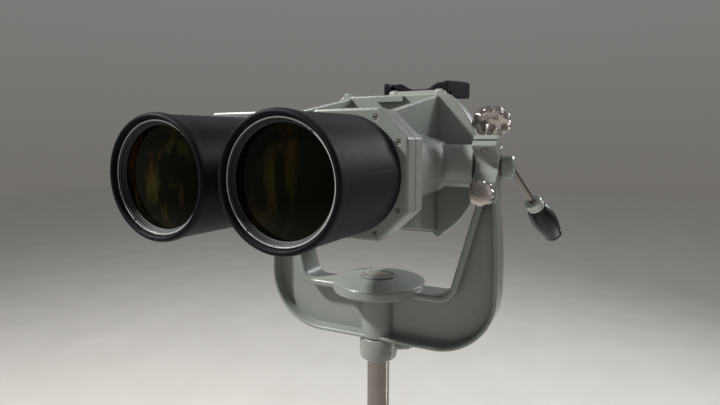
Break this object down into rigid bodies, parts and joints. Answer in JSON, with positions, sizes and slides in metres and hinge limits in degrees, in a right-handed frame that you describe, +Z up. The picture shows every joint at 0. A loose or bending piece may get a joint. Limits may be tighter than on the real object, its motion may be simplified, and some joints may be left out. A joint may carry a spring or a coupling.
{
  "type": "pedestal observation binocular",
  "caption": "Large twin-barrel observation binocular in a pan and tilt fork on a round post with a floor flange, with rubber hoods, star clamp knobs, brow rest and pan handle.",
  "frame": {"origin": "centre of the underside of the floor flange, on the pan axis", "axes": "+Z up along the post; -Y is where the objectives look; +X is the observer's left, the side of the pan handle"},
  "size_m": [0.534, 0.6912, 1.5683],
  "materials": {
    "paint": "satin grey-green enamel over cast alloy",
    "rubber": "fine-grained black rubber",
    "chrome": "bright plated",
    "steel": "polished along its length",
    "bronze": "machined bronze",
    "black_metal": "black anodised",
    "optical_glass": "coated, dark",
    "satin_alloy": "satin turned",
    "grip_black": "moulded, semi-gloss"
  },
  "bodies": {
    "base": {"base_flange": "paint", "anchor_bolt_1": "steel", "anchor_bolt_2": "steel", "anchor_bolt_3": "steel", "anchor_bolt_4": "steel", "post_tube": "steel", "spindle": "steel", "spindle_nut": "steel"},
    "fork": {"yoke_frame": "paint", "lower_bearing": "bronze", "upper_bearing": "bronze", "pan_collar": "paint", "hub_cap": "paint", "cap_badge": "paint", "trunnion_bush_L": "bronze", "trunnion_bush_R": "bronze"},
    "pan_lock": {"pan_lock_screw": "steel"},
    "clamp_knob_left": {"clamp_knob_L": "chrome"},
    "clamp_knob_right": {"clamp_knob_R": "chrome"},
    "tilt_lock_left": {"tilt_lock_knob_L": "chrome"},
    "tilt_lock_right": {"tilt_lock_knob_R": "chrome"},
    "binocular": {"main_housing": "paint", "objective_flange_L": "paint", "objective_flange_R": "paint", "objective_tube_L": "black_metal", "objective_tube_R": "black_metal", "objective_lens_L": "optical_glass", "objective_lens_R": "optical_glass", "retaining_ring_L": "satin_alloy", "retaining_ring_R": "satin_alloy", "rubber_hood_L": "rubber", "rubber_hood_R": "rubber", "trunnion_pin_L": "steel", "trunnion_pin_R": "steel", "rear_drum": "paint", "sight_block": "paint", "prism_case": "paint", "prism_L": "optical_glass", "prism_R": "optical_glass", "brow_bracket": "paint", "brow_hinge_pin": "steel"},
    "turret_left": {"eyepiece_turret_L": "paint"},
    "turret_right": {"eyepiece_turret_R": "paint"},
    "focus_ring_left": {"focus_ring_L": "black_metal"},
    "focus_ring_right": {"focus_ring_R": "black_metal"},
    "eyepiece_left": {"eyepiece_tube_L": "black_metal", "eye_lens_L": "optical_glass", "eyecup_L": "rubber"},
    "eyepiece_right": {"eyepiece_tube_R": "black_metal", "eye_lens_R": "optical_glass", "eyecup_R": "rubber"},
    "brow_rest": {"brow_pad": "rubber"},
    "handle": {"handle_hub": "paint", "handle_rod": "steel", "handle_ferrule": "satin_alloy", "handle_grip": "grip_black"}
  },
  "joints": [
    {"name": "pan", "type": "hinge", "parent": "base", "child": "fork", "pos_m": [0, 0, 1.1], "axis": [0, 0, 1], "continuous": true},
    {"name": "tilt", "type": "hinge", "parent": "fork", "child": "binocular", "pos_m": [0, 0, 1.4], "axis": [1, 0, 0], "range_deg": [-35, 40]},
    {"name": "pan_lock_turn", "type": "hinge", "parent": "fork", "child": "pan_lock", "pos_m": [0, 0, 1.05888], "axis": [0.8829, 0.4695, 0], "range_deg": [0, 270]},
    {"name": "clamp_knob_left_turn", "type": "hinge", "parent": "fork", "child": "clamp_knob_left", "pos_m": [0.19744, -0.03485, 1.43485], "axis": [0, 0.7071, 0.7071], "range_deg": [0, 270]},
    {"name": "clamp_knob_right_turn", "type": "hinge", "parent": "fork", "child": "clamp_knob_right", "pos_m": [-0.19744, -0.03485, 1.43485], "axis": [0, 0.7071, 0.7071], "range_deg": [0, 270]},
    {"name": "tilt_lock_left_turn", "type": "hinge", "parent": "fork", "child": "tilt_lock_left", "pos_m": [0.19744, -0.0448, 1.3616], "axis": [0, -1, 0], "range_deg": [0, 270]},
    {"name": "tilt_lock_right_turn", "type": "hinge", "parent": "fork", "child": "tilt_lock_right", "pos_m": [-0.19744, -0.0448, 1.3616], "axis": [0, -1, 0], "range_deg": [0, 270]},
    {"name": "eye_width_left", "type": "hinge", "parent": "binocular", "child": "turret_left", "pos_m": [0.0608, 0.13568, 1.464], "axis": [0, 1, 0], "range_deg": [-7, 13]},
    {"name": "eye_width_right", "type": "hinge", "parent": "binocular", "child": "turret_right", "pos_m": [-0.0608, 0.13568, 1.464], "axis": [0, 1, 0], "range_deg": [-13, 7]},
    {"name": "focus_turn_left", "type": "hinge", "parent": "turret_left", "child": "focus_ring_left", "pos_m": [0.032, 0.18176, 1.4864], "axis": [0, 1, 0], "range_deg": [-150, 150]},
    {"name": "focus_turn_right", "type": "hinge", "parent": "turret_right", "child": "focus_ring_right", "pos_m": [-0.032, 0.18176, 1.4864], "axis": [0, 1, 0], "range_deg": [-150, 150]},
    {"name": "focus_slide_left", "type": "slide", "parent": "turret_left", "child": "eyepiece_left", "axis": [0, 1, 0], "range_m": [-0.003, 0.003]},
    {"name": "focus_slide_right", "type": "slide", "parent": "turret_right", "child": "eyepiece_right", "axis": [0, 1, 0], "range_m": [-0.003, 0.003]},
    {"name": "brow_rest_hinge", "type": "hinge", "parent": "binocular", "child": "brow_rest", "pos_m": [0, 0.19328, 1.5408], "axis": [1, 0, 0], "range_deg": [0, 60]},
    {"name": "handle_angle", "type": "hinge", "parent": "binocular", "child": "handle", "pos_m": [0, 0, 1.4], "axis": [1, 0, 0], "range_deg": [-30, 30]}
  ],
  "couplings": [
    {"joint": "eye_width_right", "follows": "eye_width_left", "ratio": -1},
    {"joint": "focus_slide_left", "follows": "focus_turn_left", "m_per_rad": 0.0011448},
    {"joint": "focus_slide_right", "follows": "focus_turn_right", "m_per_rad": 0.0011448}
  ]
}
